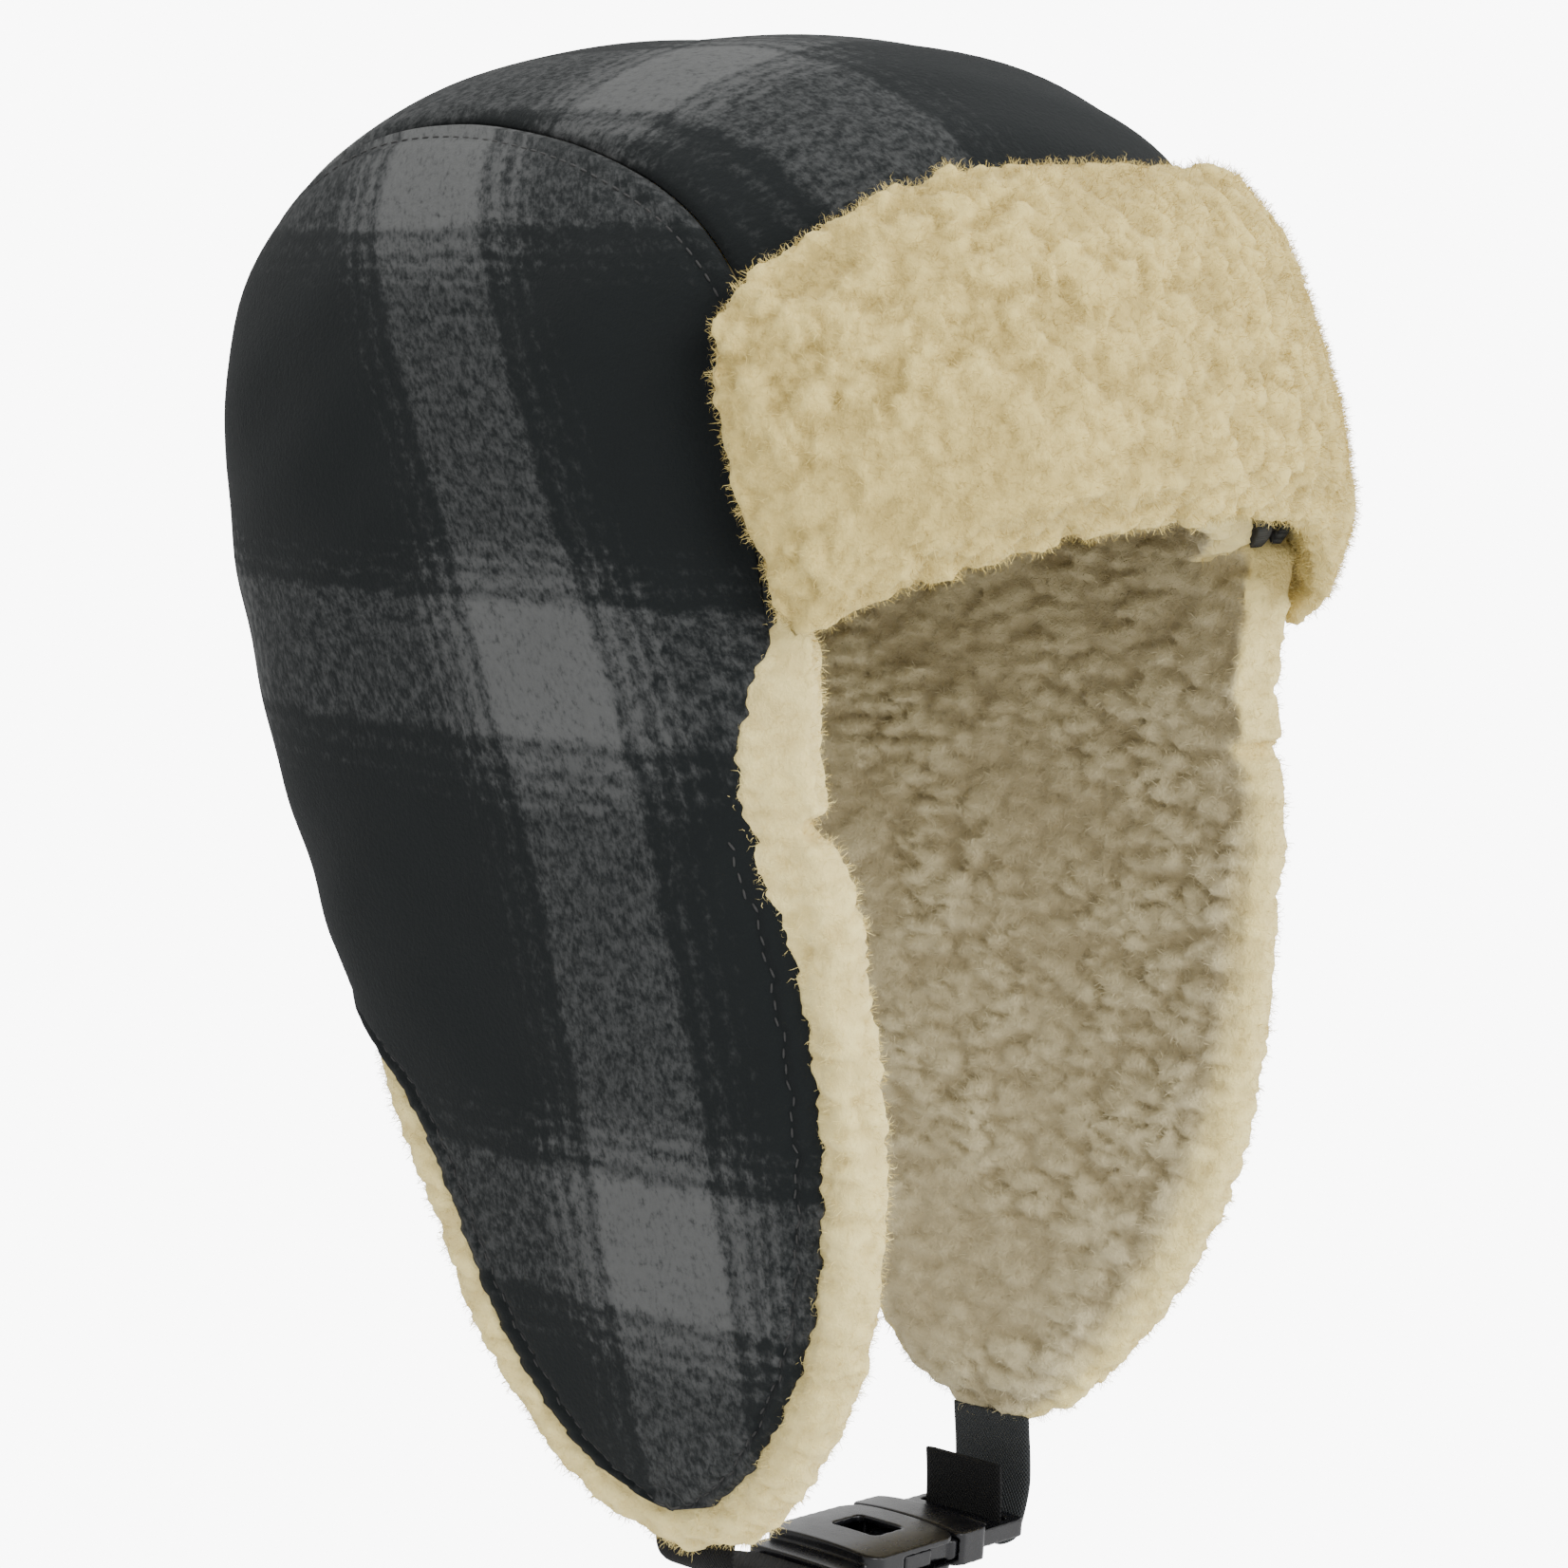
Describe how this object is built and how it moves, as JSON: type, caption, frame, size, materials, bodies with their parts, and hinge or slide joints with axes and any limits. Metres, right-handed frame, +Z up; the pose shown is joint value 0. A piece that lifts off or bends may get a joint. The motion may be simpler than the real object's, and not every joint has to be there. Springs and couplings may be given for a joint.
{
  "type": "trapper hat",
  "caption": "Lined trapper hat with a seamed crown, a turned-up sherpa brim, hinged ear flaps and a chin strap with a side-release buckle.",
  "frame": {"origin": "middle of the head opening, level with the temples", "axes": "+Z up through the crown, the face looks along -Y, the wearer's left is +X"},
  "size_m": [0.1798, 0.2305, 0.319],
  "materials": {
    "wool_plaid": "fulled wool, charcoal and grey plaid",
    "sherpa": "cream curly pile",
    "webbing_grey": "woven webbing",
    "webbing_black": "woven webbing",
    "buckle": "moulded"
  },
  "bodies": {
    "crown": {"crown_band": "wool_plaid", "left_side_panel": "wool_plaid", "right_side_panel": "wool_plaid", "crown_band_lining": "sherpa", "left_side_lining": "sherpa", "right_side_lining": "sherpa"},
    "brim": {"brim_shell": "wool_plaid", "brim_facing": "sherpa"},
    "left_flap": {"left_flap_shell": "wool_plaid", "left_flap_lining": "sherpa"},
    "right_flap": {"right_flap_shell": "wool_plaid", "right_flap_lining": "sherpa"},
    "chin_strap": {"left_strap": "webbing_grey", "strap_tail": "webbing_black", "buckle_plug": "buckle"},
    "front_arm": {"plug_arm_front": "buckle"},
    "rear_arm": {"plug_arm_rear": "buckle"},
    "strap_end": {"buckle_socket": "buckle", "right_strap": "webbing_black"}
  },
  "joints": [
    {"name": "brim_fold", "type": "hinge", "parent": "crown", "child": "brim", "pos_m": [0, -0.097, 0.01], "axis": [1, 0, 0], "range_deg": [0, 100]},
    {"name": "left_flap_fold", "type": "hinge", "parent": "crown", "child": "left_flap", "pos_m": [0.0834, -0.0115, -0.0585], "axis": [0.0959, -0.9204, 0.379], "range_deg": [0, 165]},
    {"name": "right_flap_fold", "type": "hinge", "parent": "crown", "child": "right_flap", "pos_m": [-0.0834, -0.0115, -0.0585], "axis": [0.0959, 0.9204, -0.379], "range_deg": [0, 165]},
    {"name": "chin_strap_swing", "type": "hinge", "parent": "left_flap", "child": "chin_strap", "pos_m": [0.047, -0.034, -0.187], "axis": [0.0959, -0.9204, 0.379], "range_deg": [-76, 0]},
    {"name": "buckle_release", "type": "slide", "parent": "chin_strap", "child": "strap_end", "axis": [-0.9945, 0, 0.1045], "range_m": [0, 0.022]},
    {"name": "front_arm_squeeze", "type": "hinge", "parent": "chin_strap", "child": "front_arm", "pos_m": [0.0156, -0.0458, -0.20206], "axis": [-0.1045, 0, -0.9945], "range_deg": [0, 8], "stiffness_Nm_per_rad": 0.05},
    {"name": "rear_arm_squeeze", "type": "hinge", "parent": "chin_strap", "child": "rear_arm", "pos_m": [0.0156, -0.0222, -0.20206], "axis": [0.1045, 0, 0.9945], "range_deg": [0, 8], "stiffness_Nm_per_rad": 0.05}
  ],
  "couplings": [
    {"joint": "chin_strap_swing", "follows": "left_flap_fold", "ratio": -0.4545},
    {"joint": "rear_arm_squeeze", "follows": "front_arm_squeeze", "ratio": 1}
  ]
}
